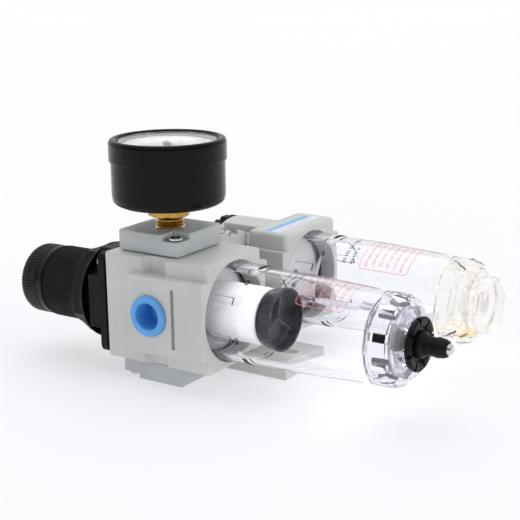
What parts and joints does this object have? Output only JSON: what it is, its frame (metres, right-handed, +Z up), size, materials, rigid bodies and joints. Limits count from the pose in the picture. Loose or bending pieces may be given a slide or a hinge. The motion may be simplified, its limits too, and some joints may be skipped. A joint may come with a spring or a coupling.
{
  "type": "filter regulator lubricator",
  "caption": "Modular compressed-air filter regulator and lubricator with clear bowls, round gauge, adjusting knob, plugged ports and a rear bracket, lying on its rear blocks.",
  "frame": {"origin": "middle of the flat face that the filter regulator's rear block rests on, below the gauge", "axes": "+X along both bowls towards the drains, +Y along the air ports from inlet to outlet, +Z up along the gauge's axis"},
  "size_m": [0.169, 0.0924, 0.084],
  "materials": {
    "grey_paint": "satin light grey paint on cast metal",
    "blue_grey_paint": "satin blue-grey paint on cast metal",
    "black_plastic": "moulded black plastic",
    "blue_plastic": "moulded blue polyethylene",
    "white_plastic": "sintered white filter plastic",
    "tube_plastic": "translucent tube",
    "clear_plastic": "clear polycarbonate",
    "rubber": "black nitrile rubber",
    "brass": "machined",
    "steel": "bright zinc plated",
    "spring_steel": "drawn wire",
    "gauge_black": "semi-gloss black enamel",
    "dial_white": "matte white dial"
  },
  "bodies": {
    "housing": {"fr_body": "grey_paint", "bonnet": "black_plastic", "bonnet_screw_1": "steel", "bonnet_screw_2": "steel", "bonnet_screw_3": "steel", "bonnet_screw_4": "steel", "gauge_block": "blue_grey_paint", "gauge_block_screw_1": "steel", "gauge_block_screw_2": "steel", "rear_block": "blue_grey_paint", "rear_block_screw_1": "steel", "rear_block_screw_2": "steel", "gauge_socket": "brass", "gauge_case": "gauge_black", "gauge_bezel": "gauge_black", "gauge_lens": "clear_plastic", "gauge_dial": "dial_white", "bourdon_tube": "brass", "regulating_spring": "spring_steel", "diaphragm": "rubber", "valve_spring": "spring_steel", "filter_element": "white_plastic", "baffle": "black_plastic", "filter_o_ring": "rubber", "lube_o_ring": "rubber", "lube_body": "grey_paint", "lube_rear_block": "blue_grey_paint", "lube_rear_block_screw": "steel", "oil_tube": "tube_plastic", "oil_strainer": "brass", "spacer": "grey_paint", "joint_o_ring_1": "rubber", "joint_o_ring_2": "rubber", "clamp_front": "grey_paint", "clamp_screw": "steel", "bracket": "grey_paint", "bracket_screw_1": "steel", "bracket_screw_2": "steel"},
    "adjusting_screw": {"adjusting_screw": "steel"},
    "knob": {"knob": "black_plastic", "knob_cap": "black_plastic"},
    "spring_nut": {"spring_nut": "steel"},
    "panel_nut": {"panel_nut": "black_plastic"},
    "valve_stem": {"valve_stem": "brass"},
    "diaphragm_plate": {"diaphragm_plate": "steel"},
    "gauge_pointer": {"gauge_pointer": "gauge_black"},
    "inlet_plug": {"inlet_plug": "blue_plastic"},
    "outlet_plug": {"outlet_plug": "blue_plastic"},
    "filter_bowl": {"filter_bowl": "clear_plastic", "filter_guard_ring": "clear_plastic", "drain_collar": "black_plastic"},
    "drain_ring": {"drain_ring": "black_plastic", "drain_nozzle": "black_plastic"},
    "drain_pin": {"drain_pin": "steel"},
    "lube_bowl": {"lube_bowl": "clear_plastic", "lube_guard_ring": "clear_plastic"},
    "lube_drain_plug": {"lube_drain_plug": "clear_plastic"},
    "lube_cap": {"lube_cap": "black_plastic", "sight_dome": "clear_plastic"},
    "drip_knob": {"drip_knob": "black_plastic"}
  },
  "joints": [
    {"name": "knob_turn", "type": "hinge", "parent": "housing", "child": "adjusting_screw", "pos_m": [-0.04, 0, 0.0266], "axis": [-1, 0, 0], "range_deg": [0, 1440]},
    {"name": "knob_unlock", "type": "slide", "parent": "adjusting_screw", "child": "knob", "axis": [-1, 0, 0], "range_m": [0, 0.0025]},
    {"name": "spring_nut_travel", "type": "slide", "parent": "housing", "child": "spring_nut", "axis": [1, 0, 0], "range_m": [0, 0.0041], "deforming": ["regulating_spring"]},
    {"name": "panel_nut_turn", "type": "hinge", "parent": "housing", "child": "panel_nut", "pos_m": [-0.031, 0, 0.0266], "axis": [1, 0, 0], "continuous": true},
    {"name": "valve_open", "type": "slide", "parent": "housing", "child": "valve_stem", "axis": [1, 0, 0], "range_m": [0, 0.0012], "stiffness_N_per_m": 300, "deforming": ["valve_spring", "diaphragm"]},
    {"name": "diaphragm_travel", "type": "slide", "parent": "housing", "child": "diaphragm_plate", "axis": [1, 0, 0], "range_m": [0, 0.00121]},
    {"name": "gauge_needle", "type": "hinge", "parent": "housing", "child": "gauge_pointer", "pos_m": [0, 0, 0.0815], "axis": [0, 0, -1], "range_deg": [0, 270], "stiffness_Nm_per_rad": 0.0002},
    {"name": "inlet_plug_pull", "type": "slide", "parent": "housing", "child": "inlet_plug", "axis": [0, -1, 0], "range_m": [0, 0.012]},
    {"name": "outlet_plug_pull", "type": "slide", "parent": "housing", "child": "outlet_plug", "axis": [0, 1, 0], "range_m": [0, 0.012]},
    {"name": "filter_bowl_turn", "type": "hinge", "parent": "housing", "child": "filter_bowl", "pos_m": [0.05, 0, 0.0266], "axis": [1, 0, 0], "range_deg": [0, 45]},
    {"name": "drain_ring_turn", "type": "hinge", "parent": "filter_bowl", "child": "drain_ring", "pos_m": [0.096, 0, 0.0266], "axis": [1, 0, 0], "range_deg": [0, 90]},
    {"name": "drain_pin_press", "type": "slide", "parent": "drain_ring", "child": "drain_pin", "axis": [-1, 0, 0], "range_m": [0, 0.0015], "stiffness_N_per_m": 200},
    {"name": "lube_bowl_turn", "type": "hinge", "parent": "housing", "child": "lube_bowl", "pos_m": [0.05, 0.05, 0.0266], "axis": [1, 0, 0], "range_deg": [0, 45]},
    {"name": "lube_plug_turn", "type": "hinge", "parent": "lube_bowl", "child": "lube_drain_plug", "pos_m": [0.097, 0.05, 0.0266], "axis": [1, 0, 0], "range_deg": [0, 720]},
    {"name": "lube_cap_turn", "type": "hinge", "parent": "housing", "child": "lube_cap", "pos_m": [-0.011, 0.05, 0.0266], "axis": [1, 0, 0], "range_deg": [0, 720]},
    {"name": "drip_adjust", "type": "hinge", "parent": "lube_cap", "child": "drip_knob", "pos_m": [-0.028, 0.05, 0.0266], "axis": [1, 0, 0], "range_deg": [0, 720]}
  ],
  "couplings": [
    {"joint": "spring_nut_travel", "follows": "knob_turn", "m_per_rad": 0.00015915},
    {"joint": "diaphragm_travel", "follows": "valve_open", "ratio": 1}
  ]
}
